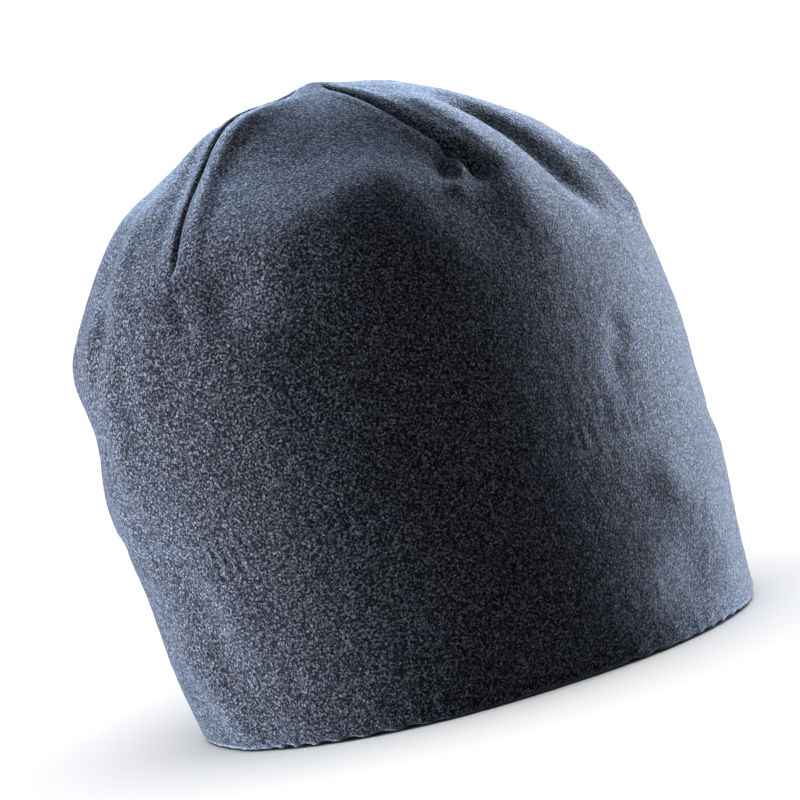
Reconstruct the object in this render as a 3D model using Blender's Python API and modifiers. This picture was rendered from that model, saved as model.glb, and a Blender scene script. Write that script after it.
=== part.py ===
"""Fleece toque: a soft cap of one fleece cloth, shaped by four darts that
meet at the apex.  Its lower edge is folded under and lies double inside as
the ear band, which is stitched to the crown along its upper edge.

Metres, +Z up.  The origin is under the middle of the cap's outline, on the
surface that it rests on.  The front is at -Y and the wearer's left side at
+X.  A place on the cloth is given by its turn, in degrees from the front towards the
wearer's left, and its climb, the share of the way from the rim to the apex.
"""
import bmesh
import bpy
import numpy as np
from mathutils import Matrix

# The cloth and its fit
WALL = 0.0022
GAP = 0.0003
HEIGHT = 0.185
LENGTH = 0.202
BREADTH = 0.168

# The apex lies a little off the middle, because the soft cloth leans
LEAN = 0.0105
LEAN_TURN = -45.0

# Height of the ear band along the cloth, at the front, back and ears
BAND_FRONT = 0.0605
BAND_BACK = 0.0505
BAND_EAR_RISE = 0.0125

# The stitched line pulls the cloth in, and the seams' ends lift the apex
STITCH_PULL = 0.0008
STITCH_SPREAD = 0.0040
APEX_LIFT = 0.0015
APEX_SPREAD = 0.0090

# Cloth facets: columns round the cap, and rows of each stretch
COLUMNS = 72
BAND_ROWS = 5
SIDE_ROWS = 6
CROWN_ROWS = 15
CROWN_START = 0.56

# The fold under the rim, as angles round its middle line
HEM_ANGLES = (38, 68, 112, 142, 180)
HEM_FLAT = 0.08
HEM_LIP = 0.0015

FLEECE_COLOUR = (0.070, 0.079, 0.110, 1.0)
FLEECE_ROUGHNESS = 0.95

# Sections of the cap: rise is a share of HEIGHT, reach of half the length
# and breadth, lean of LEAN
SECTION_COLUMNS = ("rise", "reach", "lean")
SECTIONS = (
    (0.000, 0.945, 0.00),
    (0.110, 0.967, 0.05),
    (0.250, 0.984, 0.35),
    (0.400, 0.995, 0.80),
    (0.530, 0.990, 0.95),
    (0.660, 0.955, 1.00),
    (0.756, 0.868, 1.00),
    (0.844, 0.725, 1.00),
    (0.905, 0.555, 1.00),
    (0.950, 0.392, 1.00),
    (0.982, 0.207, 1.00),
    (1.000, 0.000, 1.00),
)

# Broad swells and hollows of the resting cloth: push is a share of HEIGHT,
# outwards if positive
SWELL_COLUMNS = ("name", "turn", "climb", "turn_spread", "climb_spread", "push")
SWELLS = (
    ("front shoulder", -6, 0.86, 26, 0.070, 0.026),
    ("front dart hollow", 4, 0.64, 14, 0.060, -0.040),
    ("front quarter hollow", -38, 0.41, 13, 0.055, -0.018),
    ("front quarter swell", -36, 0.50, 16, 0.050, 0.008),
    ("front quarter top", -44, 0.70, 14, 0.060, 0.008),
    ("front quarter foot", -36, 0.09, 14, 0.090, 0.014),
    ("rear quarter swell", 138, 0.37, 18, 0.080, 0.007),
    ("rear quarter tuck", 142, 0.09, 16, 0.080, -0.020),
    ("left rim tuck", 66, 0.00, 20, 0.060, -0.014),
    ("left ear hollow", 99, 0.08, 9, 0.040, -0.010),
    ("left dart hollow", 81, 0.65, 8, 0.040, -0.016),
    ("top panel", 45, 0.80, 24, 0.070, -0.008),
    ("right cheek", -100, 0.33, 24, 0.090, -0.012),
    ("back dart hollow", 180, 0.63, 12, 0.050, -0.022),
    ("right dart hollow", -90, 0.64, 10, 0.050, -0.018),
)

# The darts: each runs from the apex down to its end.  Twist turns its upper
# stretch, and the other lengths are shares of HEIGHT
DART_COLUMNS = ("name", "turn", "twist", "end", "groove_width",
                "groove_depth", "puff_width", "puff_height")
DARTS = (
    ("front", 0, -8, 0.615, 0.017, 0.022, 0.040, 0.012),
    ("left", 80, 0, 0.660, 0.015, 0.018, 0.040, 0.010),
    ("back", 180, 2, 0.625, 0.016, 0.020, 0.040, 0.011),
    ("right", -90, 3, 0.635, 0.016, 0.020, 0.040, 0.011),
)

# Soft folds: width and push are shares of HEIGHT, and the path is a row of
# places, each with its turn and climb
FOLD_COLUMNS = ("name", "width", "push", "path")
FOLDS = (
    ("petal edge", 0.070, 0.016,
     ((79, 0.691), (65, 0.667), (52, 0.651), (37, 0.628), (18, 0.591))),
    ("crest", 0.037, 0.020,
     ((115, 0.858), (107, 0.760), (101, 0.669), (100, 0.590), (106, 0.500))),
    ("crest valley", 0.034, -0.016,
     ((118, 0.820), (114, 0.703), (116, 0.634), (120, 0.550))),
    ("rear crest", 0.036, 0.014, ((134, 0.660), (130, 0.584), (133, 0.490))),
    ("temple ridge", 0.032, 0.011,
     ((-22, 0.790), (-14, 0.680), (-10, 0.610), (-4, 0.540))),
    ("temple valley", 0.032, -0.011,
     ((-32, 0.740), (-20, 0.640), (-10, 0.560), (-6, 0.470))),
    ("brow ridge", 0.038, 0.010,
     ((-12, 0.580), (-10, 0.497), (-10, 0.439), (-12, 0.300))),
    ("rim ridge", 0.045, 0.010, ((-22, 0.170), (-12, 0.080), (-2, 0.000))),
    ("rim valley", 0.040, -0.008, ((-8, 0.280), (-4, 0.188), (-3, 0.060))),
    ("back fold", 0.050, 0.012, ((160, 0.560), (166, 0.450), (163, 0.330))),
    ("right fold", 0.045, 0.012,
     ((-118, 0.620), (-112, 0.520), (-116, 0.400), (-110, 0.300))),
    ("right crest", 0.042, 0.014,
     ((-62, 0.760), (-70, 0.660), (-76, 0.560), (-74, 0.450))),
)

HEM_RADIUS = WALL + 0.5 * GAP
COLLECTION = "Fleece toque"


def clear_scene():
    for item in list(bpy.data.objects):
        bpy.data.objects.remove(item, do_unlink=True)


def smooth_curve(knots, values, place):
    """Read a smooth curve through the rows of a table."""
    knots = np.asarray(knots, float)
    values = np.asarray(values, float)
    place = np.asarray(place, float)
    slope = np.gradient(values, knots)
    row = np.searchsorted(knots, place, side="right") - 1
    row = np.clip(row, 0, len(knots) - 2)
    step = knots[row + 1] - knots[row]
    s = (place - knots[row]) / step
    start = (2 * s**3 - 3 * s**2 + 1) * values[row]
    end = (3 * s**2 - 2 * s**3) * values[row + 1]
    leave = (s**3 - 2 * s**2 + s) * step * slope[row]
    arrive = (s**3 - s**2) * step * slope[row + 1]
    return start + end + leave + arrive


def turn_gap(turn, other):
    """The signed angle from one turn to another, the short way round."""
    return (np.asarray(turn) - other + 180.0) % 360.0 - 180.0


def section_knots():
    """The climb at each section, from the run of the cloth between them."""
    rise, reach, lean = (np.array(column) for column in zip(*SECTIONS))
    mean_radius = 0.25 * (LENGTH + BREADTH)
    run = np.hypot(np.diff(rise) * HEIGHT, np.diff(reach) * mean_radius)
    climb = np.concatenate([[0.0], np.cumsum(run)])
    return climb / climb[-1], rise, reach, lean, climb[-1]


CLIMBS, RISES, REACHES, LEANS, CLOTH_RUN = section_knots()


def bare_place(turn, climb):
    """A place on the plain oval cap, before its folds."""
    angle = np.radians(turn)
    reach = smooth_curve(CLIMBS, REACHES, climb)
    height = smooth_curve(CLIMBS, RISES, climb) * HEIGHT
    shift = smooth_curve(CLIMBS, LEANS, climb) * LEAN
    lean_angle = np.radians(LEAN_TURN)
    across = shift * np.sin(lean_angle) + 0.5 * BREADTH * reach * np.sin(angle)
    along = -shift * np.cos(lean_angle) - 0.5 * LENGTH * reach * np.cos(angle)
    return np.stack([across, along, height + 0.0 * angle], axis=-1)


def outward(turn, climb):
    """The direction out of the plain cap's surface."""
    step = 0.001
    low = np.clip(climb - step, 0.0, 1.0)
    high = np.clip(climb + step, 0.0, 1.0)
    along = bare_place(turn + 0.5, climb) - bare_place(turn - 0.5, climb)
    up = bare_place(turn, high) - bare_place(turn, low)
    normal = np.cross(along, up)
    length = np.linalg.norm(normal, axis=-1, keepdims=True)
    normal = normal / np.maximum(length, 1e-12)
    apex = np.broadcast_to(climb > 0.9995, normal.shape[:-1])[..., None]
    return np.where(apex | (length < 1e-12), (0.0, 0.0, 1.0), normal)


def band_climb(turn):
    """The climb of the stitched line, higher over the ears."""
    angle = np.radians(turn)
    middle = 0.5 * (BAND_FRONT + BAND_BACK)
    tilt = 0.5 * (BAND_FRONT - BAND_BACK) * np.cos(angle)
    return (middle + tilt + BAND_EAR_RISE * np.sin(angle) ** 2) / CLOTH_RUN


def dart_twist(climb, dart):
    """How far a dart is turned at a climb: fully above, and not below."""
    s = np.clip((np.asarray(climb) - dart[3]) / (0.85 - dart[3]), 0.0, 1.0)
    return dart[2] * s * s * (3.0 - 2.0 * s)


def twisted(column, climb):
    """The turn of a cloth column, drawn along with the darts near it."""
    turn = np.asarray(column, float) + 0.0 * climb
    for dart in DARTS:
        near = np.exp(-(turn_gap(column, dart[1]) / 28.0) ** 2)
        turn = turn + near * dart_twist(climb, dart)
    return turn


def distance_to_line(points, line, limit):
    """Distance from points to a line, and the share along it."""
    flat = points.reshape(-1, 3)
    distance = np.full(len(flat), 1.0)
    share = np.zeros(len(flat))
    low = line.min(axis=0) - limit
    high = line.max(axis=0) + limit
    near = np.nonzero(((flat > low) & (flat < high)).all(axis=1))[0]
    close = flat[near]
    best = np.full(len(near), 1.0)
    best_share = np.zeros(len(near))
    for k in range(len(line) - 1):
        edge = line[k + 1] - line[k]
        s = np.clip((close - line[k]) @ edge / (edge @ edge), 0.0, 1.0)
        foot = line[k] + s[:, None] * edge
        away = np.linalg.norm(close - foot, axis=1)
        nearer = away < best
        best[nearer] = away[nearer]
        best_share[nearer] = (k + s[nearer]) / (len(line) - 1)
    distance[near] = best
    share[near] = best_share
    shape = points.shape[:-1]
    return distance.reshape(shape), share.reshape(shape)


def fade(share, start, end):
    """One along the middle of a line, falling to nothing at its ends."""
    f = np.clip(share / start, 0.0, 1.0) * np.clip((1.0 - share) / end, 0.0, 1.0)
    return f * f * (3.0 - 2.0 * f)


def swell_push(turn, climb):
    push = np.zeros(turn.shape)
    for name, at_turn, at_climb, wide, tall, amount in SWELLS:
        across = turn_gap(turn, at_turn) / wide
        along = (climb - at_climb) / tall
        push += amount * HEIGHT * np.exp(-across**2 - along**2)
    return push


def dart_push(points):
    """A narrow groove along each seam, with a puffed ridge at each side."""
    push = np.zeros(points.shape[:-1])
    for dart in DARTS:
        name, turn, twist, end, groove, depth, puff, height = dart
        climb = np.linspace(0.985, end, 15)
        line = bare_place(turn + dart_twist(climb, dart), climb)
        away, share = distance_to_line(points, line, 3.0 * puff * HEIGHT)
        groove_form = np.exp(-(away / (groove * HEIGHT)) ** 1.3)
        ridge = (away / HEIGHT - puff) / (0.55 * puff)
        push -= depth * HEIGHT * fade(share, 0.12, 0.18) * groove_form
        push += height * HEIGHT * fade(share, 0.3, 0.3) * np.exp(-ridge**2)
    return push


def fold_push(points):
    push = np.zeros(points.shape[:-1])
    for name, width, amount, path in FOLDS:
        turn, climb = (np.array(column, float) for column in zip(*path))
        knots = np.linspace(0.0, 1.0, len(path))
        share = np.linspace(0.0, 1.0, 13)
        line = bare_place(smooth_curve(knots, turn, share),
                          smooth_curve(knots, climb, share))
        away, share = distance_to_line(points, line, 3.0 * width * HEIGHT)
        form = np.exp(-(away / (width * HEIGHT)) ** 2)
        push += amount * HEIGHT * fade(share, 0.3, 0.3) * form
    return push


def cloth_place(column, climb):
    """A place on the folded cloth."""
    turn = twisted(column, climb)
    points = bare_place(turn, climb)
    push = swell_push(turn, climb) + dart_push(points) + fold_push(points)
    stitch = (climb - band_climb(column)) * CLOTH_RUN / STITCH_SPREAD
    push -= STITCH_PULL * np.exp(-stitch**2)
    apex = (1.0 - climb) * CLOTH_RUN / APEX_SPREAD
    push += APEX_LIFT * np.exp(-apex**2)
    return points + outward(turn, climb) * push[..., None]


def row_climbs():
    """Rows of the cloth above the hem, as parts of the stretches."""
    band = [("band", k / BAND_ROWS) for k in range(BAND_ROWS)]
    side = [("side", k / SIDE_ROWS) for k in range(SIDE_ROWS)]
    crown = [("crown", k / CROWN_ROWS) for k in range(CROWN_ROWS + 1)]
    return band + side + crown


def climb_of(row, column):
    """The climb of a row in a column, so that rows follow the stitched line."""
    stretch, share = row
    first = hem_start()
    line = band_climb(column)
    if stretch == "band":
        return first + share * (line - first)
    if stretch == "side":
        return line + share * (CROWN_START - line)
    return CROWN_START + share * (1.0 - CROWN_START) + 0.0 * line


def hem_start():
    """The climb where the fold under the rim begins."""
    return HEM_RADIUS / CLOTH_RUN


def hem_place(column, angle):
    """The fold under the rim, flat where it rests."""
    start = hem_start() + 0.0 * column
    edge = cloth_place(column, start)
    level = outward(twisted(column, start), start) * (1.0, 1.0, 0.0)
    level = level / np.linalg.norm(level, axis=-1, keepdims=True)
    middle = edge - level * HEM_RADIUS
    middle[..., 2] = HEM_RADIUS
    swing = np.radians(angle)
    place = middle + level * (HEM_RADIUS * np.cos(swing))
    depth = HEM_RADIUS * (1.0 + HEM_FLAT) * np.sin(swing)
    place[..., 2] = np.maximum(HEM_RADIUS - depth, 0.0)
    return place


def lip_place(column):
    """The free edge of the fold, turned up inside for the ear band."""
    place = hem_place(column, 180)
    place[..., 2] += HEM_LIP
    return place


def cloth_sheet(name, rows, place_of_row, inset=0.0):
    """Wrap a flat grid of cloth into place and close its back seam."""
    mesh = bpy.data.meshes.new(name)
    cloth = bmesh.new()
    bmesh.ops.create_grid(cloth, x_segments=COLUMNS, y_segments=len(rows) - 1,
                          size=0.5)
    flat = np.array([vertex.co[:] for vertex in cloth.verts])
    across = np.rint((flat[:, 0] + 0.5) * COLUMNS).astype(int)
    upward = np.rint((flat[:, 1] + 0.5) * (len(rows) - 1)).astype(int)
    turns = np.linspace(-180.0, 180.0, COLUMNS + 1)
    placed = [place_of_row(row, turns) for row in rows]
    for vertex, i, j in zip(cloth.verts, across, upward):
        vertex.co = placed[j][i]
    bmesh.ops.remove_doubles(cloth, verts=cloth.verts, dist=0.00001)
    cloth.to_mesh(mesh)
    cloth.free()
    mesh.shade_smooth()
    sheet = bpy.data.objects.new(name, mesh)
    thick = sheet.modifiers.new("Wall", "SOLIDIFY")
    thick.thickness = WALL
    thick.offset = -1.0 - 2.0 * inset / WALL
    thick.use_even_offset = True
    thick.use_quality_normals = True
    return sheet


def crown_row(row, turns):
    if row[0] == "lip":
        return lip_place(turns)
    if row[0] == "hem":
        return hem_place(turns, row[1])
    return cloth_place(turns, climb_of(row, turns))


def make_crown():
    hem = [("hem", angle) for angle in reversed(HEM_ANGLES)]
    rows = [("lip", 0)] + hem + row_climbs()
    return cloth_sheet("crown", rows, crown_row)


def band_row(row, turns):
    """Rows of the crown's cloth, the first one clear of the fold's lip."""
    place = crown_row(row, turns)
    if row[1] > 0:
        return place
    above = crown_row(("band", 1.0 / BAND_ROWS), turns)
    rise = (HEM_LIP + GAP) / (above - place)[..., 2:]
    return place + (above - place) * rise


def make_ear_band():
    """The cloth turned up inside, from the fold to the stitched line."""
    rows = [("band", k / BAND_ROWS) for k in range(BAND_ROWS + 1)]
    return cloth_sheet("ear_band", rows, band_row, WALL + GAP)


def fleece_material(name):
    material = bpy.data.materials.new(name)
    material.use_nodes = True
    shader = material.node_tree.nodes["Principled BSDF"]
    shader.inputs["Base Color"].default_value = FLEECE_COLOUR
    shader.inputs["Roughness"].default_value = FLEECE_ROUGHNESS
    shader.inputs["Metallic"].default_value = 0.0
    material.diffuse_color = FLEECE_COLOUR
    return material


def centre_on_outline(outer, pieces):
    """Bring the middle of the outer cloth's outline over the origin."""
    corners = np.array([vertex.co[:] for vertex in outer.data.vertices])
    middle = 0.5 * (corners.min(axis=0) + corners.max(axis=0))
    move = Matrix.Translation((-middle[0], -middle[1], 0.0))
    for piece in pieces:
        piece.data.transform(move)


def make_toque():
    clear_scene()
    home = bpy.data.collections.new(COLLECTION)
    bpy.context.scene.collection.children.link(home)
    crown = make_crown()
    pieces = (crown, make_ear_band())
    centre_on_outline(crown, pieces)
    for piece in pieces:
        piece.data.materials.append(fleece_material(piece.name))
        home.objects.link(piece)


make_toque()
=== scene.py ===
import bmesh
import bpy
import numpy as np
from mathutils import Matrix, Vector, noise


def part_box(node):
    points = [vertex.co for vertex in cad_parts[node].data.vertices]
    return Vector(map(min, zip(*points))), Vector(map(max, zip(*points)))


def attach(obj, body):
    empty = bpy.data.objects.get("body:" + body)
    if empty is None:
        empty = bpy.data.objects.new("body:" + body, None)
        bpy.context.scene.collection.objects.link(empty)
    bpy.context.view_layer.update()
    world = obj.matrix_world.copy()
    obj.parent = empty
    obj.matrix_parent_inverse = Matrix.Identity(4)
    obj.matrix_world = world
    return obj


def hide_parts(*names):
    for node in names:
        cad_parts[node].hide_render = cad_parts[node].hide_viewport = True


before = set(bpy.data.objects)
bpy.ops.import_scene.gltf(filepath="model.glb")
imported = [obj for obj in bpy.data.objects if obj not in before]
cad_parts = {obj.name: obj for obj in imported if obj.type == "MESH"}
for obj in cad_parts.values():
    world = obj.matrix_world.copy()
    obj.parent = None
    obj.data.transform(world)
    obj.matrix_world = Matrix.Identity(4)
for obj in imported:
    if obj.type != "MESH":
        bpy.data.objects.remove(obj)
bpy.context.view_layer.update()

# CROWN.  The real crown is one fleece cloth, shaped by four darts that meet at
# the apex.  It is napped on both sides, and its lower edge is folded under at
# the rim and ends in a lip inside.

# The cloth and its fit.  A place on the cloth has a turn, in degrees from the
# front towards the left side, and a climb, from 0 at the rim to 1 at the apex
WALL = 0.0022
GAP = 0.0003
HEIGHT = 0.185
LENGTH = 0.202
BREADTH = 0.168

# The apex lies a little off the middle, because the soft cloth leans
LEAN = 0.0105
LEAN_TURN = -45.0

# Height of the ear band along the cloth, at the front, back and ears
BAND_FRONT = 0.0605
BAND_BACK = 0.0505
BAND_EAR_RISE = 0.0125

# The stitched line pulls the cloth in, and the seams' ends lift the apex
STITCH_PULL = 0.0008
STITCH_SPREAD = 0.0040
APEX_LIFT = 0.0015
APEX_SPREAD = 0.0090

# Sections of the cap: rise is a share of HEIGHT, reach of half the length
# and breadth, lean of LEAN
SECTION_COLUMNS = ("rise", "reach", "lean")
SECTIONS = (
    (0.000, 0.945, 0.00),
    (0.110, 0.967, 0.05),
    (0.250, 0.984, 0.35),
    (0.400, 0.995, 0.80),
    (0.530, 0.990, 0.95),
    (0.660, 0.955, 1.00),
    (0.756, 0.868, 1.00),
    (0.844, 0.725, 1.00),
    (0.905, 0.555, 1.00),
    (0.950, 0.392, 1.00),
    (0.982, 0.207, 1.00),
    (1.000, 0.000, 1.00),
)

# Broad swells and hollows of the resting cloth: spreads are in degrees of turn
# and in climb, and push is a share of HEIGHT, outwards if positive
SWELL_COLUMNS = ("name", "turn", "climb", "turn_spread", "climb_spread",
                 "push")
SWELLS = (
    ("front shoulder", -6, 0.86, 26, 0.070, 0.026),
    ("front dart hollow", 22, 0.57, 9, 0.050, -0.020),
    ("front quarter hollow", -38, 0.41, 13, 0.055, -0.018),
    ("front quarter swell", -36, 0.50, 16, 0.050, 0.008),
    ("front quarter top", -44, 0.70, 14, 0.060, 0.008),
    ("front quarter foot", -36, 0.09, 14, 0.090, 0.014),
    ("rear quarter swell", 138, 0.37, 18, 0.080, 0.007),
    ("rear quarter tuck", 142, 0.09, 16, 0.080, -0.020),
    ("left rim tuck", 66, 0.00, 20, 0.060, -0.014),
    ("left ear hollow", 99, 0.08, 9, 0.040, -0.010),
    ("left dart hollow", 86, 0.655, 5, 0.020, -0.012),
    ("top panel", 45, 0.80, 24, 0.070, -0.008),
    ("right cheek", -100, 0.33, 24, 0.090, -0.012),
    ("back dart hollow", 180, 0.63, 12, 0.050, -0.022),
    ("right dart hollow", -90, 0.64, 10, 0.050, -0.018),
)

# The darts: each runs from the apex down to its end.  Twist turns its upper
# stretch, and the other lengths are shares of HEIGHT.  Low side is the share
# of the puff on the side of the lower turn, which can lie hollow instead
DART_COLUMNS = ("name", "turn", "twist", "end", "groove_width",
                "groove_depth", "puff_width", "puff_height", "low_side")
DARTS = (
    ("front", 8, -10, 0.605, 0.0050, 0.008, 0.034, 0.008, -0.9),
    ("left", 85, -4, 0.640, 0.0052, 0.009, 0.020, 0.0028, 1.0),
    ("back", 180, 2, 0.625, 0.0055, 0.009, 0.036, 0.006, 1.0),
    ("right", -90, 3, 0.635, 0.0055, 0.009, 0.036, 0.006, 1.0),
)

# Every dart starts at this climb.  Its twist is full above TWIST_FULL, and
# fades to both sides with TWIST_SPREAD, in degrees.  The groove fades in at
# its upper and lower end over shares of the seam
DART_START = 0.985
TWIST_FULL = 0.85
TWIST_SPREAD = 28.0
GROOVE_FADE = (0.12, 0.10)
GROOVE_POWER = 1.3

# A puff's own spread is a share of its distance from the seam, and one side
# passes into the other over SIDE_SPREAD, in degrees
PUFF_SPREAD = 0.55
SIDE_SPREAD = 1.5

# Soft folds: width and push are shares of HEIGHT, and the path is a row of
# places, each with its turn and climb
FOLD_COLUMNS = ("name", "width", "push", "path")
FOLDS = (
    ("petal edge", 0.070, 0.016,
     ((79, 0.691), (65, 0.667), (52, 0.651), (37, 0.628), (18, 0.591))),
    ("crest", 0.066, 0.014,
     ((104, 0.890), (96, 0.770), (93, 0.669), (92, 0.590), (98, 0.480))),
    ("crest valley", 0.044, -0.030,
     ((128, 0.880), (117, 0.750), (113, 0.640), (116, 0.500))),
    ("rear crest", 0.036, 0.014, ((134, 0.660), (130, 0.584), (133, 0.490))),
    ("temple ridge", 0.032, 0.011,
     ((-22, 0.790), (-14, 0.680), (-10, 0.610), (-4, 0.540))),
    ("temple valley", 0.026, -0.009,
     ((-32, 0.740), (-24, 0.640), (-15, 0.560), (-10, 0.470))),
    ("brow ridge", 0.038, 0.010,
     ((-12, 0.580), (-10, 0.497), (-10, 0.439), (-12, 0.300))),
    ("rim ridge", 0.045, 0.010, ((-22, 0.170), (-12, 0.080), (-2, 0.000))),
    ("rim valley", 0.040, -0.008, ((-8, 0.280), (-4, 0.188), (-3, 0.060))),
    ("back fold", 0.050, 0.012, ((160, 0.560), (166, 0.450), (163, 0.330))),
    ("right fold", 0.045, 0.012,
     ((-118, 0.620), (-112, 0.520), (-116, 0.400), (-110, 0.300))),
    ("right crest", 0.042, 0.014,
     ((-62, 0.760), (-70, 0.660), (-76, 0.560), (-74, 0.450))),
)

# Seams and folds are followed in so many places, as far off as LINE_REACH
# widths, and they fade out over a share of their length at both ends
DART_PLACES = 15
FOLD_PLACES = 13
LINE_REACH = 3.0
FOLD_FADE = (0.3, 0.3)


def smooth_curve(knots, values, place):
    """Read a smooth curve through the rows of a table."""
    knots = np.asarray(knots, float)
    values = np.asarray(values, float)
    place = np.asarray(place, float)
    slope = np.gradient(values, knots)
    row = np.searchsorted(knots, place, side="right") - 1
    row = np.clip(row, 0, len(knots) - 2)
    step = knots[row + 1] - knots[row]
    s = (place - knots[row]) / step
    start = (2 * s**3 - 3 * s**2 + 1) * values[row]
    end = (3 * s**2 - 2 * s**3) * values[row + 1]
    leave = (s**3 - 2 * s**2 + s) * step * slope[row]
    arrive = (s**3 - s**2) * step * slope[row + 1]
    return start + end + leave + arrive


def turn_gap(turn, other):
    """The signed angle from one turn to another, the short way round."""
    return (np.asarray(turn) - other + 180.0) % 360.0 - 180.0


def section_knots():
    """The climb at each section, from the run of the cloth between them."""
    rise, reach, lean = (np.array(column) for column in zip(*SECTIONS))
    mean_radius = 0.25 * (LENGTH + BREADTH)
    run = np.hypot(np.diff(rise) * HEIGHT, np.diff(reach) * mean_radius)
    climb = np.concatenate([[0.0], np.cumsum(run)])
    return climb / climb[-1], rise, reach, lean, climb[-1]


CLIMBS, RISES, REACHES, LEANS, CLOTH_RUN = section_knots()


def bare_place(turn, climb):
    """A place on the plain oval cap, before its folds."""
    angle = np.radians(turn)
    reach = smooth_curve(CLIMBS, REACHES, climb)
    height = smooth_curve(CLIMBS, RISES, climb) * HEIGHT
    shift = smooth_curve(CLIMBS, LEANS, climb) * LEAN
    lean_angle = np.radians(LEAN_TURN)
    across = shift * np.sin(lean_angle) + 0.5 * BREADTH * reach * np.sin(angle)
    along = -shift * np.cos(lean_angle) - 0.5 * LENGTH * reach * np.cos(angle)
    return np.stack([across, along, height + 0.0 * angle], axis=-1)


def outward(turn, climb):
    """The direction out of the plain cap's surface."""
    step = 0.001
    low = np.clip(climb - step, 0.0, 1.0)
    high = np.clip(climb + step, 0.0, 1.0)
    along = bare_place(turn + 0.5, climb) - bare_place(turn - 0.5, climb)
    up = bare_place(turn, high) - bare_place(turn, low)
    normal = np.cross(along, up)
    length = np.linalg.norm(normal, axis=-1, keepdims=True)
    normal = normal / np.maximum(length, 1e-12)
    apex = np.broadcast_to(climb > 0.9995, normal.shape[:-1])[..., None]
    return np.where(apex | (length < 1e-12), (0.0, 0.0, 1.0), normal)


def band_climb(turn):
    """The climb of the stitched line, higher over the ears."""
    angle = np.radians(turn)
    middle = 0.5 * (BAND_FRONT + BAND_BACK)
    tilt = 0.5 * (BAND_FRONT - BAND_BACK) * np.cos(angle)
    return (middle + tilt + BAND_EAR_RISE * np.sin(angle) ** 2) / CLOTH_RUN


def dart_twist(climb, dart):
    """How far a dart is turned at a climb: fully above, and not below."""
    end = dart[3]
    s = np.clip((np.asarray(climb) - end) / (TWIST_FULL - end), 0.0, 1.0)
    return dart[2] * s * s * (3.0 - 2.0 * s)


def twisted(column, climb):
    """The turn of a cloth column, drawn along with the darts near it."""
    turn = np.asarray(column, float) + 0.0 * climb
    for dart in DARTS:
        near = np.exp(-(turn_gap(column, dart[1]) / TWIST_SPREAD) ** 2)
        turn = turn + near * dart_twist(climb, dart)
    return turn


def distance_to_line(points, line, limit):
    """Distance from points to a line, and the share along it."""
    flat = points.reshape(-1, 3)
    distance = np.full(len(flat), 1.0)
    share = np.zeros(len(flat))
    low = line.min(axis=0) - limit
    high = line.max(axis=0) + limit
    near = np.nonzero(((flat > low) & (flat < high)).all(axis=1))[0]
    close = flat[near]
    best = np.full(len(near), 1.0)
    best_share = np.zeros(len(near))
    for k in range(len(line) - 1):
        edge = line[k + 1] - line[k]
        s = np.clip((close - line[k]) @ edge / (edge @ edge), 0.0, 1.0)
        foot = line[k] + s[:, None] * edge
        away = np.linalg.norm(close - foot, axis=1)
        nearer = away < best
        best[nearer] = away[nearer]
        best_share[nearer] = (k + s[nearer]) / (len(line) - 1)
    distance[near] = best
    share[near] = best_share
    shape = points.shape[:-1]
    return distance.reshape(shape), share.reshape(shape)


def fade(share, start, end):
    """One along the middle of a line, falling to nothing at its ends."""
    rising = np.clip(share / start, 0.0, 1.0)
    f = rising * np.clip((1.0 - share) / end, 0.0, 1.0)
    return f * f * (3.0 - 2.0 * f)


def swell_push(turn, climb):
    """How far the broad swells push the cloth out."""
    push = np.zeros(turn.shape)
    for name, at_turn, at_climb, wide, tall, amount in SWELLS:
        across = turn_gap(turn, at_turn) / wide
        along = (climb - at_climb) / tall
        push += amount * HEIGHT * np.exp(-across**2 - along**2)
    return push


def dart_push(points, turn_here):
    """How far the seams' grooves and the puffs beside them push the cloth."""
    push = np.zeros(points.shape[:-1])
    for dart in DARTS:
        name, turn, twist, end, groove, depth, puff, height, low_side = dart
        climb = np.linspace(DART_START, end, DART_PLACES)
        line = bare_place(turn + dart_twist(climb, dart), climb)
        reach = LINE_REACH * puff * HEIGHT
        away, share = distance_to_line(points, line, reach)
        groove_form = np.exp(-(away / (groove * HEIGHT)) ** GROOVE_POWER)
        ridge = (away / HEIGHT - puff) / (PUFF_SPREAD * puff)
        push -= depth * HEIGHT * fade(share, *GROOVE_FADE) * groove_form
        seam_climb = DART_START + share * (end - DART_START)
        at_seam = turn + dart_twist(seam_climb, dart)
        aside = turn_gap(turn_here, at_seam) / SIDE_SPREAD
        high = 0.5 + 0.5 * np.tanh(aside)
        side = low_side + (1.0 - low_side) * high
        puffed = height * HEIGHT * fade(share, *FOLD_FADE) * np.exp(-ridge**2)
        push += puffed * side
    return push


def fold_push(points, folds):
    """How far a table of folds pushes the cloth, strongest along each path."""
    push = np.zeros(points.shape[:-1])
    for name, width, amount, path in folds:
        turn, climb = (np.array(column, float) for column in zip(*path))
        knots = np.linspace(0.0, 1.0, len(path))
        share = np.linspace(0.0, 1.0, FOLD_PLACES)
        line = bare_place(smooth_curve(knots, turn, share),
                          smooth_curve(knots, climb, share))
        reach = LINE_REACH * width * HEIGHT
        away, share = distance_to_line(points, line, reach)
        form = np.exp(-(away / (width * HEIGHT)) ** 2)
        push += amount * HEIGHT * fade(share, *FOLD_FADE) * form
    return push


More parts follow.
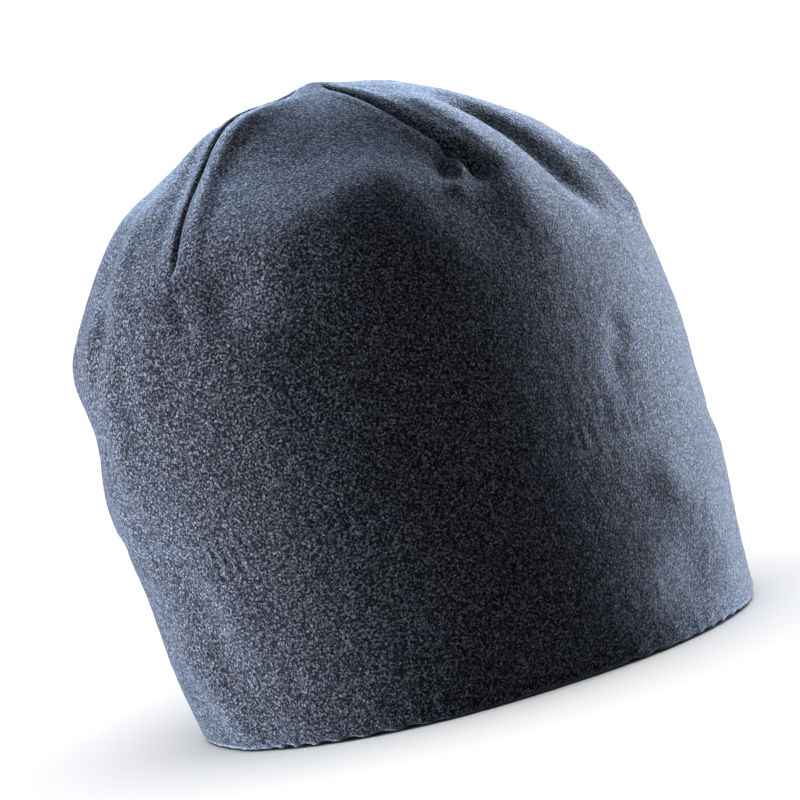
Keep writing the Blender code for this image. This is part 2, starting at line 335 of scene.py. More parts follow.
# Smaller folds that only the dressed cloth has, in the same columns
SOFT_FOLDS = (
    ("lower petal edge", 0.060, 0.007,
     ((82, 0.572), (67, 0.578), (52, 0.591), (40, 0.596))),
    ("slant ridge", 0.060, 0.006,
     ((4, 0.575), (13, 0.540), (21, 0.501), (30, 0.455), (36, 0.420))),
    ("slant valley", 0.075, -0.006,
     ((-18, 0.290), (-12, 0.300), (5, 0.320), (20, 0.345), (32, 0.390))),
    ("outer brow ridge", 0.030, 0.007,
     ((-20, 0.630), (-19, 0.547), (-22, 0.480))),
    ("brow edge", 0.040, 0.006,
     ((-8, 0.640), (0, 0.552), (2, 0.492), (-1, 0.420))),
    ("ear crease", 0.028, -0.005,
     ((100, 0.450), (101, 0.395), (98, 0.369), (97, 0.300))),
    ("ear ridge", 0.045, 0.008, ((100, 0.250), (103, 0.180), (122, 0.120))),
    ("side branch", 0.017, -0.014, ((86, 0.722), (81, 0.695), (75, 0.655))),
    ("branch lip", 0.018, 0.006, ((85, 0.672), (81, 0.655), (76, 0.625))),
    ("panel by the dart", 0.034, 0.006,
     ((98, 0.900), (93, 0.800), (91, 0.725), (92, 0.650))),
    ("dart end crease", 0.022, -0.008,
     ((8, 0.600), (11, 0.570), (15, 0.520))),
)

# Tucks along the stitched line, waves and lift of the rim, clumps of nap.  The
# finer clumps are shares of the coarse ones
PUCKER_STEP = 0.0043
PUCKER_DEPTH = 0.00028
PUCKER_REACH = 0.0060
RIM_WAVE_STEP = 0.0085
RIM_WAVE_DEPTH = 0.00018
RIM_WAVE_REACH = 0.0060
RIM_LIFT = 0.0009
RIM_LIFT_REACH = 0.0090
NAP_CLUMP = 0.0042
NAP_CLUMP_HEIGHT = 0.00016
FINE_CLUMP = 0.45
FINE_CLUMP_HEIGHT = 0.6


def wave_phase(column, step):
    """The phase of an even wave round the cap, with a step in metres."""
    along = np.radians(column) * 0.25 * (LENGTH + BREADTH)
    return 2.0 * np.pi * along / step


def pucker_push(column, climb):
    """Small radial tucks where the band's stitches draw the cloth in."""
    angle = np.radians(column)
    phase = wave_phase(column, PUCKER_STEP)
    phase = phase + 1.1 * np.sin(5.0 * angle)
    phase = phase + 0.8 * np.sin(13.0 * angle + 1.0)
    uneven = 0.65 + 0.35 * np.sin(9.0 * angle + 2.0 * np.sin(3.0 * angle))
    uneven = uneven * (0.62 + 0.38 * np.cos(angle - 0.17))
    away = np.abs(climb - band_climb(column)) * CLOTH_RUN / PUCKER_REACH
    return PUCKER_DEPTH * uneven * np.cos(phase) * np.exp(-away**1.3)


def rim_phase(column):
    """The phase of the rim's waves, which aren't quite even."""
    return (wave_phase(column, RIM_WAVE_STEP)
            + 2.6 * np.sin(7.0 * np.radians(column)))


def rim_wave(column, climb):
    """The folded edge is drawn into slight waves by its own thickness."""
    angle = np.radians(column)
    uneven = 0.5 + 0.5 * np.sin(11.0 * angle + 2.0 * np.sin(4.0 * angle))
    away = climb * CLOTH_RUN / RIM_WAVE_REACH
    return (RIM_WAVE_DEPTH * uneven * np.sin(rim_phase(column))
            * np.exp(-away**2))


def rim_lift(column):
    """Between the places where it rests, the folded edge lifts a little."""
    angle = np.radians(column)
    uneven = 0.55 + 0.45 * np.sin(5.0 * angle + 1.6 * np.sin(9.0 * angle))
    return RIM_LIFT * uneven * (0.5 + 0.5 * np.sin(rim_phase(column) + 0.9))


def cloth_place(column, climb):
    """A place on the folded cloth, with the finer folds."""
    turn = twisted(column, climb)
    points = bare_place(turn, climb)
    push = swell_push(turn, climb) + dart_push(points, turn)
    push += fold_push(points, FOLDS) + fold_push(points, SOFT_FOLDS)
    push += pucker_push(column, climb) + rim_wave(column, climb)
    stitch = (climb - band_climb(column)) * CLOTH_RUN / STITCH_SPREAD
    push -= STITCH_PULL * np.exp(-stitch**2)
    apex = (1.0 - climb) * CLOTH_RUN / APEX_SPREAD
    push += APEX_LIFT * np.exp(-apex**2)
    place = points + outward(turn, climb) * push[..., None]
    near_rim = np.exp(-(climb * CLOTH_RUN / RIM_LIFT_REACH) ** 2)
    place[..., 2] += rim_lift(column) * near_rim
    return place


# The fold under the rim is pressed flat by a share of its radius, and its
# steps are in degrees
HEM_RADIUS = WALL + 0.5 * GAP
HEM_FLAT = 0.08
HEM_LIP = 0.0015
HEM_STEP = 15
HEM_START = HEM_RADIUS / CLOTH_RUN


def hem_place(column, angle):
    """The fold under the rim, flat where it rests."""
    start = HEM_START + 0.0 * column
    edge = cloth_place(column, start)
    level = outward(twisted(column, start), start) * (1.0, 1.0, 0.0)
    level = level / np.linalg.norm(level, axis=-1, keepdims=True)
    middle = edge - level * HEM_RADIUS
    middle[..., 2] = HEM_RADIUS
    swing = np.radians(angle)
    place = middle + level * (HEM_RADIUS * np.cos(swing))
    depth = HEM_RADIUS * (1.0 + HEM_FLAT) * np.sin(swing)
    place[..., 2] = np.maximum(HEM_RADIUS - depth, 0.0) + rim_lift(column)
    return place


# The cloth's columns are closer along the darts: how much, and in what spread
# in degrees
DART_DENSITY = 2.0
DART_DENSE_SPREAD = 5.0


def column_turns(columns):
    """Turns all round the cap, three times as close along the darts."""
    fine = np.linspace(-180.0, 180.0, 7201)
    dense = np.ones(len(fine))
    for dart in DARTS:
        away = turn_gap(fine, dart[1]) / DART_DENSE_SPREAD
        dense += DART_DENSITY * np.exp(-away ** 2)
    count = np.concatenate([[0.0], np.cumsum(0.5 * (dense[1:] + dense[:-1]))])
    wanted = np.linspace(0.0, count[-1], columns, endpoint=False)
    return np.interp(wanted, count, fine)


def cloth_grid(columns, band_rows, crown_rows, with_hem=True):
    """Places on the cloth as rows of columns, from the lip up to the apex."""
    turns = column_turns(columns)
    rows = []
    if with_hem:
        lip = hem_place(turns, 180.0)
        lip[:, 2] += HEM_LIP
        rows.append(lip)
        rows += [hem_place(turns, angle)
                 for angle in range(180, 0, -HEM_STEP)]
    line = band_climb(turns)
    for share in np.linspace(0.0, 1.0, band_rows, endpoint=False):
        rows.append(cloth_place(
            turns, HEM_START + share * (line - HEM_START)))
    for share in np.linspace(0.0, 1.0, crown_rows):
        rows.append(cloth_place(turns, line + share * (1.0 - line)))
    return np.array(rows)


def grid_normals(grid):
    """The direction out of the cloth at each place of a closed-round grid."""
    along = np.roll(grid, -1, axis=1) - np.roll(grid, 1, axis=1)
    up = np.gradient(grid, axis=0)
    normal = np.cross(along, up)
    length = np.linalg.norm(normal, axis=-1, keepdims=True)
    normal = normal / np.maximum(length, 1e-12)
    return np.where(length < 1e-12, (0.0, 0.0, 1.0), normal)


def nap_relief(grid, size, height):
    """The nap gathers into small clumps, so that the surface is never even."""
    flat = grid.reshape(-1, 3)
    clump = [noise.noise(Vector(p) / size) for p in flat]
    return height * np.array(clump).reshape(grid.shape[:-1])


def grid_piece(name, grid, turned=False, cap=True):
    """A mesh of a grid that closes round, with its top row as one point."""
    columns = grid.shape[1]
    body = grid[:-1] if cap else grid
    points = body.reshape(-1, 3)
    here = np.arange((len(body) - 1) * columns).reshape(-1, columns)
    beside = np.roll(here, -1, axis=1)
    quads = np.stack([here, beside, beside + columns, here + columns], axis=-1)
    faces = quads.reshape(-1, 4).tolist()
    if cap:
        apex = len(points)
        points = np.concatenate([points, grid[-1].mean(axis=0)[None]])
        top = (len(body) - 1) * columns
        for k in range(columns):
            faces.append([top + k, top + (k + 1) % columns, apex])
    if turned:
        faces = [face[::-1] for face in faces]
    mesh = bpy.data.meshes.new(name)
    mesh.from_pydata((points + CENTRE).tolist(), [], faces)
    mesh.shade_smooth()
    piece = bpy.data.objects.new(name, mesh)
    bpy.context.scene.collection.objects.link(piece)
    return piece


def node_at(nodes, kind, **inputs):
    """A new node with its inputs set by name."""
    node = nodes.new(kind)
    for name, value in inputs.items():
        node.inputs[name.replace("_", " ")].default_value = value
    return node


# Dark navy fleece with painted shade between the curls of the nap, nearly
# black there, paler at their tips, and a cool sheen where the tips catch the
# light
FLEECE_NAVY_HOLLOW_SHADE = (0.0006, 0.0007, 0.0012, 1.0)
FLEECE_TIP = (0.0900, 0.0950, 0.1250, 1.0)
FLEECE_SHEEN = (0.47, 0.61, 0.86, 1.0)
OUTER_SHEEN = 0.70
INNER_SHEEN = 0.50

# The nap's height is fine noise, less a share of the distance to the curls'
# middles.  Its colours stand at three heights, and the sheen grows with it
NAP_STEP = 0.00092
NAP_DEPTH = 0.00040
FIBRES_PER_CURL = 1.4
CURL_SHARE = -0.22
NAP_STOPS = (0.35, 0.46, 0.62)
NAP_MIDDLE = [0.3 * value for value in FLEECE_TIP[:3]] + [1.0]
SHEEN_STOPS = (0.32, 0.58)
SHEEN_SHARES = (0.45, 1.45)


def fleece_material(name, sheen_weight):
    """Napped fleece: curls of fibre, painted shade between them, pale at the
    tips.
    """
    material = bpy.data.materials.new(name)
    material.use_nodes = True
    tree = material.node_tree
    nodes, links = tree.nodes, tree.links
    shader = nodes["Principled BSDF"]
    shader.inputs["Roughness"].default_value = 0.95
    shader.inputs["Specular IOR Level"].default_value = 0.05
    shader.inputs["Sheen Roughness"].default_value = 0.36
    shader.inputs["Sheen Tint"].default_value = FLEECE_SHEEN
    place = nodes.new("ShaderNodeTexCoord")
    curls = node_at(nodes, "ShaderNodeTexVoronoi", Scale=1.0 / NAP_STEP,
                    Randomness=1.0)
    links.new(place.outputs["Object"], curls.inputs["Vector"])
    fibre = node_at(nodes, "ShaderNodeTexNoise",
                    Scale=FIBRES_PER_CURL / NAP_STEP,
                    Detail=2.5, Roughness=0.6, Distortion=0.9)
    links.new(place.outputs["Object"], fibre.inputs["Vector"])
    height = nodes.new("ShaderNodeMath")
    height.operation = "MULTIPLY_ADD"
    height.inputs[1].default_value = CURL_SHARE
    links.new(curls.outputs["Distance"], height.inputs[0])
    links.new(fibre.outputs["Fac"], height.inputs[2])
    # The ramp's lowest colour is painted shade in the nap's hollows, over the
    # fleece's dark navy
    ramp = nodes.new("ShaderNodeValToRGB")
    ramp.color_ramp.elements.new(0.5)
    for element, stop, colour in zip(ramp.color_ramp.elements, NAP_STOPS,
                                     (FLEECE_NAVY_HOLLOW_SHADE, NAP_MIDDLE, FLEECE_TIP)):
        element.position = stop
        element.color = colour
    links.new(height.outputs[0], ramp.inputs["Fac"])
    links.new(ramp.outputs["Color"], shader.inputs["Base Color"])
    catch = node_at(nodes, "ShaderNodeMapRange",
                    From_Min=SHEEN_STOPS[0], From_Max=SHEEN_STOPS[1],
                    To_Min=SHEEN_SHARES[0] * sheen_weight,
                    To_Max=SHEEN_SHARES[1] * sheen_weight)
    links.new(height.outputs[0], catch.inputs["Value"])
    links.new(catch.outputs["Result"], shader.inputs["Sheen Weight"])
    bump = node_at(nodes, "ShaderNodeBump", Strength=1.0, Distance=NAP_DEPTH)
    links.new(height.outputs[0], bump.inputs["Height"])
    links.new(bump.outputs["Normal"], shader.inputs["Normal"])
    return material


# The cap's middle is brought over the frame's origin, as its solids are
coarse = cloth_grid(columns=180, band_rows=12, crown_rows=40)
CENTRE = np.zeros(3)
crown_low, crown_high = (np.array(corner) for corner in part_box("crown"))
CENTRE[:2] = (0.5 * (crown_low + crown_high))[:2]
CENTRE[:2] -= 0.5 * (coarse.min(axis=(0, 1)) + coarse.max(axis=(0, 1)))[:2]

crown_grid = cloth_grid(columns=480, band_rows=50, crown_rows=132)
relief = nap_relief(crown_grid, NAP_CLUMP, NAP_CLUMP_HEIGHT)
relief += nap_relief(crown_grid, FINE_CLUMP * NAP_CLUMP,
                     FINE_CLUMP_HEIGHT * NAP_CLUMP_HEIGHT)
crown_grid += grid_normals(crown_grid) * relief[..., None]
crown_grid[..., 2] = np.maximum(crown_grid[..., 2], 0.0)
crown_cloth = grid_piece("crown_cloth", crown_grid)
crown_cloth.data.materials.append(
    fleece_material("napped fleece", OUTER_SHEEN))
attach(crown_cloth, "root")
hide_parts("crown")

# The crown's inner face, a cloth's thickness in, shows from below
inside_grid = cloth_grid(columns=240, band_rows=16, crown_rows=80,
                         with_hem=False)
inside_normals = grid_normals(inside_grid)
inside_relief = nap_relief(inside_grid, NAP_CLUMP, NAP_CLUMP_HEIGHT)
inside_grid -= inside_normals * (WALL + inside_relief)[..., None]
crown_inside = grid_piece("crown_inside", inside_grid, turned=True)
crown_inside.data.materials.append(
    fleece_material("fleece inner face", INNER_SHEEN))
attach(crown_inside, "root")

# DART SEAMS.  Inside, each dart's two raw edges are sewn together and turned
# to one side as a soft strip of the same fleece.  An overlock stitch in navy
# thread wraps the strip's edge.
ALLOWANCE = 0.0060
ALLOWANCE_THICK = 0.0028
THREAD_RADIUS = 0.00024
OVERLOCK_STEP = 0.0026
OVERLOCK_LEG = 0.0034
STRIP_STITCH = 0.8
THREAD_COLOUR = (0.012, 0.014, 0.026, 1.0)

# A strip runs from a climb near the apex to a little above the dart's end.  It
# narrows near the apex, laps over the seam, and its edges lie in the cloth.
# Its thickness fades out over shares of its length at both ends
STRIP_TOP = 0.955
STRIP_END_GAP = 0.012
STRIP_NARROW = 0.45
STRIP_LAP = 0.0008
STRIP_SINK = 0.0003
STRIP_FADE = (0.06, 0.12)


def dart_strip(dart, rows=70, columns=14):
    """The turned edges of one dart, as rows across the strip."""
    climb = np.linspace(STRIP_TOP, dart[3] + STRIP_END_GAP, rows)
    seam = cloth_place(np.full(rows, float(dart[1])), climb)
    axis = bare_place(np.zeros(1), np.ones(1))[0]
    radius = np.linalg.norm((seam - axis)[:, :2], axis=1)
    width = np.minimum(ALLOWANCE, STRIP_NARROW * radius)[:, None]
    share = np.linspace(0.0, 1.0, columns)[None, :]
    across = width * share - STRIP_LAP
    turn = dart[1] + np.degrees(across / radius[:, None])
    climb = climb[:, None] + 0.0 * turn
    along = np.linspace(0.0, 1.0, rows)[:, None]
    swell = (1.0 - np.abs(2.0 * share - 1.0) ** 4) * fade(along, *STRIP_FADE)
    inward = WALL - STRIP_SINK + ALLOWANCE_THICK * swell
    place = cloth_place(turn, climb)
    return place - outward(turn, climb) * inward[..., None]


def strip_mesh(name, strips):
    """One mesh of several open strips."""
    points, faces = [], []
    for strip in strips:
        rows, columns = strip.shape[:2]
        here = len(points) + np.arange(rows * columns).reshape(rows, columns)
        points += (strip.reshape(-1, 3) + CENTRE).tolist()
        quads = np.stack([here[:-1, :-1], here[:-1, 1:], here[1:, 1:],
                          here[1:, :-1]], axis=-1)
        faces += quads.reshape(-1, 4).tolist()
    mesh = bpy.data.meshes.new(name)
    mesh.from_pydata(points, [], faces)
    mesh.shade_smooth()
    piece = bpy.data.objects.new(name, mesh)
    bpy.context.scene.collection.objects.link(piece)
    return piece


def thread_material(name):
    """Spun polyester thread: matt navy, a little lighter along its twist."""
    material = bpy.data.materials.new(name)
    material.use_nodes = True
    tree = material.node_tree
    shader = tree.nodes["Principled BSDF"]
    shader.inputs["Roughness"].default_value = 0.6
    place = tree.nodes.new("ShaderNodeTexCoord")
    twist = node_at(tree.nodes, "ShaderNodeTexNoise", Scale=2600.0, Detail=1.0)
    tree.links.new(place.outputs["Object"], twist.inputs["Vector"])
    ramp = tree.nodes.new("ShaderNodeValToRGB")
    ramp.color_ramp.elements[0].position = 0.3
    ramp.color_ramp.elements[0].color = THREAD_COLOUR
    ramp.color_ramp.elements[1].position = 0.7
    ramp.color_ramp.elements[1].color = (
        [2.4 * value for value in THREAD_COLOUR[:3]] + [1.0])
    tree.links.new(twist.outputs["Fac"], ramp.inputs["Fac"])
    tree.links.new(ramp.outputs["Color"], shader.inputs["Base Color"])
    return material


# A loop's handles: how far they stand out and up, as shares of its reach.  The
# leans are turns about the loop's own axes, in radians
LOOP_BULGE = 1.25
LOOP_RISE = 1.33
LOOP_LEAN_LEAST = (-0.05, -0.08, 0.20)
LOOP_LEAN_MOST = (0.05, 0.08, 0.42)


def overlock_tree():
    """Loops of thread over a cloth edge, one at each step of its path."""
    tree = bpy.data.node_groups.new("overlock stitches", "GeometryNodeTree")
    face = tree.interface
    face.new_socket("Edge path", in_out="INPUT",
                    socket_type="NodeSocketGeometry")
    for name, value in (("Stitch step", OVERLOCK_STEP),
                        ("Stitch leg", OVERLOCK_LEG),
                        ("Edge thickness", WALL),
                        ("Thread radius", THREAD_RADIUS)):
        socket = face.new_socket(name, in_out="INPUT",
                                 socket_type="NodeSocketFloat")
        socket.default_value = value
    face.new_socket("Seed", in_out="INPUT", socket_type="NodeSocketInt")
    face.new_socket("Thread", in_out="INPUT", socket_type="NodeSocketMaterial")
    face.new_socket("Stitches", in_out="OUTPUT",
                    socket_type="NodeSocketGeometry")
    nodes, link = tree.nodes, tree.links.new
    given = nodes.new("NodeGroupInput")
    made = nodes.new("NodeGroupOutput")

    def worked_out(kind, first, second):
        node = nodes.new("ShaderNodeMath")
        node.operation = kind
        for socket, value in zip(node.inputs, (first, second)):
            if isinstance(value, float):
                socket.default_value = value
            else:
                link(value, socket)
        return node.outputs[0]

    def point(y, z):
        node = nodes.new("ShaderNodeCombineXYZ")
        link(y, node.inputs["Y"])
        link(z, node.inputs["Z"])
        return node.outputs[0]

    path = nodes.new("GeometryNodeMeshToCurve")
    link(given.outputs["Edge path"], path.inputs["Mesh"])
    steps = nodes.new("GeometryNodeResampleCurve")
    steps.mode = "LENGTH"
    link(path.outputs["Curve"], steps.inputs["Curve"])
    link(given.outputs["Stitch step"], steps.inputs["Length"])

    # One loop: an arch over the edge, with a leg down each face of the cloth
    half_edge = worked_out("MULTIPLY", given.outputs["Edge thickness"], 0.5)
    reach = worked_out("ADD", half_edge, given.outputs["Thread radius"])
    foot = worked_out("MULTIPLY", given.outputs["Stitch leg"], -1.0)
    quarter_leg = worked_out("MULTIPLY", given.outputs["Stitch leg"], 0.25)
    loop_top = worked_out("MULTIPLY", worked_out("ADD", reach, quarter_leg),
                          LOOP_RISE)
    loop = nodes.new("GeometryNodeCurvePrimitiveBezierSegment")
    loop.mode = "POSITION"
    loop.inputs["Resolution"].default_value = 9
    wide = worked_out("MULTIPLY", reach, LOOP_BULGE)
    other_wide = worked_out("MULTIPLY", wide, -1.0)
    other_reach = worked_out("MULTIPLY", reach, -1.0)
    link(point(reach, foot), loop.inputs["Start"])
    link(point(wide, loop_top), loop.inputs["Start Handle"])
    link(point(other_wide, loop_top), loop.inputs["End Handle"])
    link(point(other_reach, foot), loop.inputs["End"])
    profile = nodes.new("GeometryNodeCurvePrimitiveCircle")
    profile.inputs["Resolution"].default_value = 5
    link(given.outputs["Thread radius"], profile.inputs["Radius"])
    thread = nodes.new("GeometryNodeCurveToMesh")
    thread.inputs["Fill Caps"].default_value = True
    link(loop.outputs["Curve"], thread.inputs["Curve"])
    link(profile.outputs["Curve"], thread.inputs["Profile Curve"])

    # Each loop stands up from the edge, and leans a little along it
    tangent = nodes.new("GeometryNodeInputTangent")
    edge_up = nodes.new("GeometryNodeInputNamedAttribute")
    edge_up.data_type = "FLOAT_VECTOR"
    edge_up.inputs["Name"].default_value = "edge_up"
    along = nodes.new("FunctionNodeAlignRotationToVector")
    along.axis = "X"
    link(tangent.outputs[0], along.inputs["Vector"])
    upright = nodes.new("FunctionNodeAlignRotationToVector")
    upright.axis = "Z"
    upright.pivot_axis = "X"
    link(along.outputs[0], upright.inputs["Rotation"])
    link(edge_up.outputs["Attribute"], upright.inputs["Vector"])
    lean = nodes.new("FunctionNodeRandomValue")
    lean.data_type = "FLOAT_VECTOR"
    lean.inputs["Min"].default_value = LOOP_LEAN_LEAST
    lean.inputs["Max"].default_value = LOOP_LEAN_MOST
    link(given.outputs["Seed"], lean.inputs["Seed"])
    leaned = nodes.new("FunctionNodeRotateRotation")
    leaned.rotation_space = "LOCAL"
    link(upright.outputs[0], leaned.inputs["Rotation"])
    as_turn = nodes.new("FunctionNodeEulerToRotation")
    link(lean.outputs[0], as_turn.inputs[0])
    link(as_turn.outputs[0], leaned.inputs["Rotate By"])
    place = nodes.new("GeometryNodeInstanceOnPoints")
    link(steps.outputs["Curve"], place.inputs["Points"])
    link(thread.outputs["Mesh"], place.inputs["Instance"])
    link(leaned.outputs[0], place.inputs["Rotation"])
    whole = nodes.new("GeometryNodeRealizeInstances")
    link(place.outputs["Instances"], whole.inputs["Geometry"])
    dyed = nodes.new("GeometryNodeSetMaterial")
    link(whole.outputs["Geometry"], dyed.inputs["Geometry"])
    link(given.outputs["Thread"], dyed.inputs["Material"])
    link(dyed.outputs["Geometry"], made.inputs["Stitches"])
    return tree


def overlocked(name, paths, ups, closed, tree, material, sizes):
    """Run the stitches along each path, and keep them as a plain mesh."""
    points, edges = [], []
    for path in paths:
        first = len(points)
        points += (path + CENTRE).tolist()
        edges += [(first + k, first + k + 1) for k in range(len(path) - 1)]
        if closed:
            edges.append((first + len(path) - 1, first))
    mesh = bpy.data.meshes.new(name)
    mesh.from_pydata(points, edges, [])
    edge_up = mesh.attributes.new("edge_up", "FLOAT_VECTOR", "POINT")
    edge_up.data.foreach_set("vector", np.concatenate(ups).ravel())
    seam = bpy.data.objects.new(name, mesh)
    bpy.context.scene.collection.objects.link(seam)
    sewing = seam.modifiers.new("sewing", "NODES")
    sewing.node_group = tree
    sockets = {item.name: item.identifier for item in tree.interface.items_tree
               if item.in_out == "INPUT"}
    for size, value in sizes.items():
        sewing[sockets[size]] = value
    sewing[sockets["Thread"]] = material
    bpy.context.view_layer.update()
    drawn = seam.evaluated_get(bpy.context.evaluated_depsgraph_get())
    finished = bpy.data.meshes.new_from_object(drawn)
    seam.modifiers.remove(sewing)
    seam.data = finished
    seam.data.shade_smooth()
    return seam


strips = [dart_strip(dart) for dart in DARTS]
dart_seams = strip_mesh("dart_seams", strips)
dart_seams.data.flip_normals()
dart_seams.data.materials.append(
    fleece_material("seam strip fleece", INNER_SHEEN))
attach(dart_seams, "root")

stitch_tree = overlock_tree()
navy_thread = thread_material("navy thread")
stitched_rows = slice(2, -6)
strip_edges = [strip[stitched_rows, -3] for strip in strips]
strip_sides = []
for strip in strips:
    side = strip[stitched_rows, -1] - strip[stitched_rows, 0]
    side = side / np.linalg.norm(side, axis=1, keepdims=True)
    strip_sides.append(side)
dart_stitches = overlocked(
    "dart_stitches", strip_edges, strip_sides, False, stitch_tree, navy_thread,
    {"Stitch step": OVERLOCK_STEP,
     "Stitch leg": STRIP_STITCH * OVERLOCK_LEG,
     "Edge thickness": STRIP_STITCH * ALLOWANCE_THICK,
     "Thread radius": THREAD_RADIUS, "Seed": 3})
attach(dart_stitches, "root")

# EAR BAND.  The real band is the same cloth turned up inside at the rim, so
# that the cap lies double over the ears.  Its raw upper edge is stitched to
# the crown all round.
BAND_EDGE = 0.0011
BAND_ARC_STEPS = 7
BAND_BACK_ROWS = 12


def ear_band_grid(columns, rows):
    """The band's visible face, its rounded edge and the rows behind that."""
    turns = np.linspace(-180.0, 180.0, columns, endpoint=False)
    line = band_climb(turns)
    first = HEM_START + (HEM_LIP + GAP) / CLOTH_RUN
    outer = np.array([cloth_place(turns, first + share * (line - first))
                      for share in np.linspace(0.0, 1.0, rows)])
    inward = -grid_normals(outer)
    near = outer + inward * (WALL + GAP)
    far = outer + inward * (2.0 * WALL + GAP)
    middle = 0.5 * (near[-1] + far[-1])
    half = 0.5 * (far[-1] - near[-1])
    up = np.array((0.0, 0.0, BAND_EDGE))
    edge = [middle + half * np.cos(angle) + up * np.sin(angle)
            for angle in np.linspace(0.0, np.pi, BAND_ARC_STEPS)[1:-1]]
    return np.concatenate([far, np.array(edge), near[::-1][:BAND_BACK_ROWS]])


band_grid = ear_band_grid(columns=480, rows=60)
band_relief = nap_relief(band_grid, NAP_CLUMP, NAP_CLUMP_HEIGHT)
band_grid -= grid_normals(band_grid) * band_relief[..., None]
ear_band_cloth = grid_piece("ear_band_cloth", band_grid, turned=True,
                            cap=False)
ear_band_cloth.data.materials.append(
    fleece_material("ear band fleece", INNER_SHEEN))
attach(ear_band_cloth, "root")
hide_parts("ear_band")

# Its raw edge is overlocked all round, and the stitches hold it to the crown
EDGE_PLACES = 560
EDGE_CLIMB_STEP = 0.003
edge_turns = np.linspace(-180.0, 180.0, EDGE_PLACES, endpoint=False)
edge_line = band_climb(edge_turns)
edge_rows = np.array([cloth_place(edge_turns, edge_line - EDGE_CLIMB_STEP * k)
                      for k in (1, 0, -1)])
edge_inward = -grid_normals(edge_rows)[1]
edge_path = edge_rows[1] + edge_inward * (1.5 * WALL + GAP)
edge_up = edge_rows[2] - edge_rows[0]
edge_up = edge_up / np.linalg.norm(edge_up, axis=1, keepdims=True)
band_stitches = overlocked(
    "band_stitches", [edge_path], [edge_up], True, stitch_tree, navy_thread,
    {"Stitch step": OVERLOCK_STEP, "Stitch leg": OVERLOCK_LEG,
     "Edge thickness": WALL, "Thread radius": THREAD_RADIUS, "Seed": 8})
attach(band_stitches, "root")

# SETTING.  A plain white floor, and soft studio light from the left, from
# behind on the right and from above.  The camera is turned a little, as the
# photograph was taken.
FLOOR_HALF = 60.0
FLOOR_DROP = 0.0004
floor_mesh = bpy.data.meshes.new("floor")
floor_shape = bmesh.new()
bmesh.ops.create_grid(floor_shape, x_segments=4, y_segments=4, size=FLOOR_HALF)
floor_shape.to_mesh(floor_mesh)
floor_shape.free()
floor = bpy.data.objects.new("floor", floor_mesh)
floor.location.z = -FLOOR_DROP
bpy.context.scene.collection.objects.link(floor)
paper = bpy.data.materials.new("white paper")
paper.use_nodes = True
paper_shader = paper.node_tree.nodes["Principled BSDF"]
paper_shader.inputs["Base Color"].default_value = (0.93, 0.93, 0.93, 1.0)
paper_shader.inputs["Roughness"].default_value = 0.9
floor.data.materials.append(paper)

world = bpy.data.worlds.new("studio")
bpy.context.scene.world = world
world.use_nodes = True
dome = world.node_tree.nodes["Background"]
dome.inputs["Color"].default_value = (0.96, 0.98, 1.0, 1.0)
dome.inputs["Strength"].default_value = 0.25

# The lights are for the cap alone: turns in degrees from the front, lengths
# in metres and power in watts
LIGHT_COLUMNS = ("name", "turn", "height", "away", "size", "power")
LIGHTS = (
    ("left light", -41.0, 0.20, 1.0, 0.6, 105.0),
    ("right light", 171.0, 0.19, 1.0, 0.5, 98.0),
    ("top light", -30.0, 1.15, 0.6, 0.8, 8.0),
)
LIGHT_COLOUR = (0.93, 0.96, 1.0)
LIGHT_AIM = Vector((0.0, 0.0, 0.09))

cap_only = bpy.data.collections.new("the cap alone")
for piece in (crown_cloth, crown_inside, dart_seams, dart_stitches,
              ear_band_cloth, band_stitches):
    cap_only.objects.link(piece)


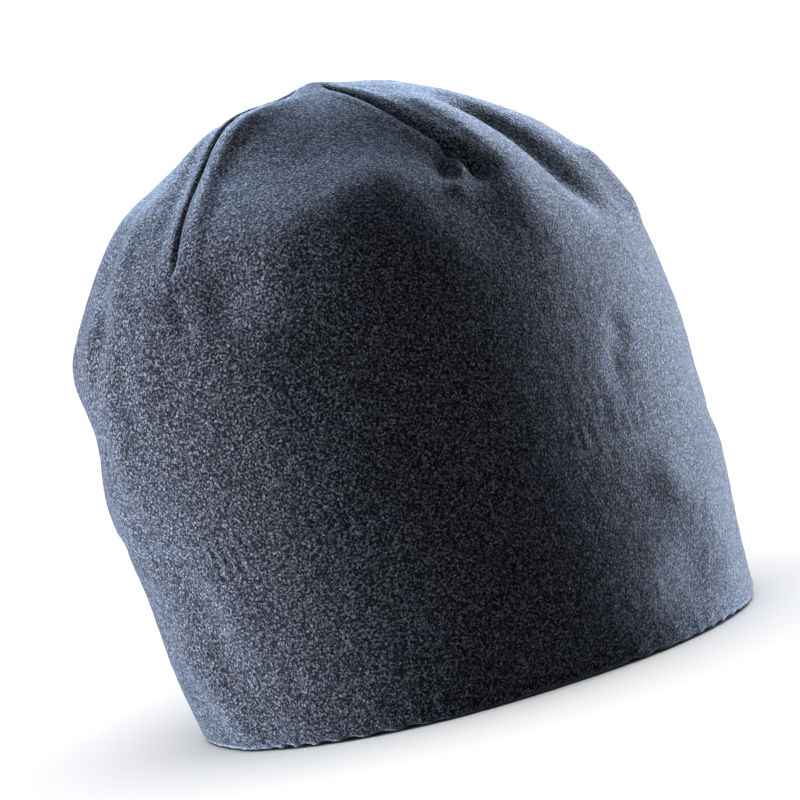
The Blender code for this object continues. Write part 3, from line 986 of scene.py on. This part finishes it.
def soft_light(name, turn, height, away, size, power):
    """A square soft light, at a turn from the front of the cap."""
    angle = np.radians(turn)
    data = bpy.data.lights.new(name, "AREA")
    data.shape = "SQUARE"
    data.size = size
    data.energy = power
    data.color = LIGHT_COLOUR
    lamp = bpy.data.objects.new(name, data)
    lamp.location = (away * np.sin(angle), -away * np.cos(angle), height)
    toward = LIGHT_AIM - lamp.location
    lamp.rotation_euler = toward.to_track_quat("-Z", "Y").to_euler()
    bpy.context.scene.collection.objects.link(lamp)
    lamp.light_linking.receiver_collection = cap_only


for light in LIGHTS:
    soft_light(*light)

# A wide soft sun lights the paper alone, so that it stays white
SUN_STRENGTH = 3.1
SUN_WIDTH = 75.0
sun_data = bpy.data.lights.new("paper light", "SUN")
sun_data.energy = SUN_STRENGTH
sun_data.angle = np.radians(SUN_WIDTH)
sun = bpy.data.objects.new("paper light", sun_data)
bpy.context.scene.collection.objects.link(sun)
paper_only = bpy.data.collections.new("the paper alone")
paper_only.objects.link(floor)
sun.light_linking.receiver_collection = paper_only

# The photograph's camera: turns in degrees, lengths in metres, and the pixel
# of the photograph that the point aimed at falls on
CAMERA_TURN = 45.0
CAMERA_AWAY = 1.5
CAMERA_HEIGHT = 0.25
CAMERA_ROLL = 13.5
AIM_HEIGHT = 0.094
PIXELS_PER_METRE = 3250.0
AIM_PIXEL = (415.0, 366.6)
IMAGE_PIXELS = 800.0
SENSOR = 36.0
photo_angle = np.radians(CAMERA_TURN)
aim = Vector((CENTRE[0], CENTRE[1], AIM_HEIGHT))
seat = aim + Vector((CAMERA_AWAY * np.sin(photo_angle),
                     -CAMERA_AWAY * np.cos(photo_angle),
                     CAMERA_HEIGHT - AIM_HEIGHT))
camera_data = bpy.data.cameras.new("camera")
camera_data.sensor_width = SENSOR
camera_data.lens = (PIXELS_PER_METRE * SENSOR * (aim - seat).length
                    / IMAGE_PIXELS)
camera_data.shift_x = (0.5 * IMAGE_PIXELS - AIM_PIXEL[0]) / IMAGE_PIXELS
camera_data.shift_y = -(0.5 * IMAGE_PIXELS - AIM_PIXEL[1]) / IMAGE_PIXELS
camera = bpy.data.objects.new("camera", camera_data)
camera.location = seat
facing = (aim - seat).to_track_quat("-Z", "Y").to_matrix().to_4x4()
turned = facing @ Matrix.Rotation(-np.radians(CAMERA_ROLL), 4, "Z")
camera.rotation_euler = turned.to_euler()
bpy.context.scene.collection.objects.link(camera)
bpy.context.scene.camera = camera
bpy.context.scene.view_settings.view_transform = "Standard"
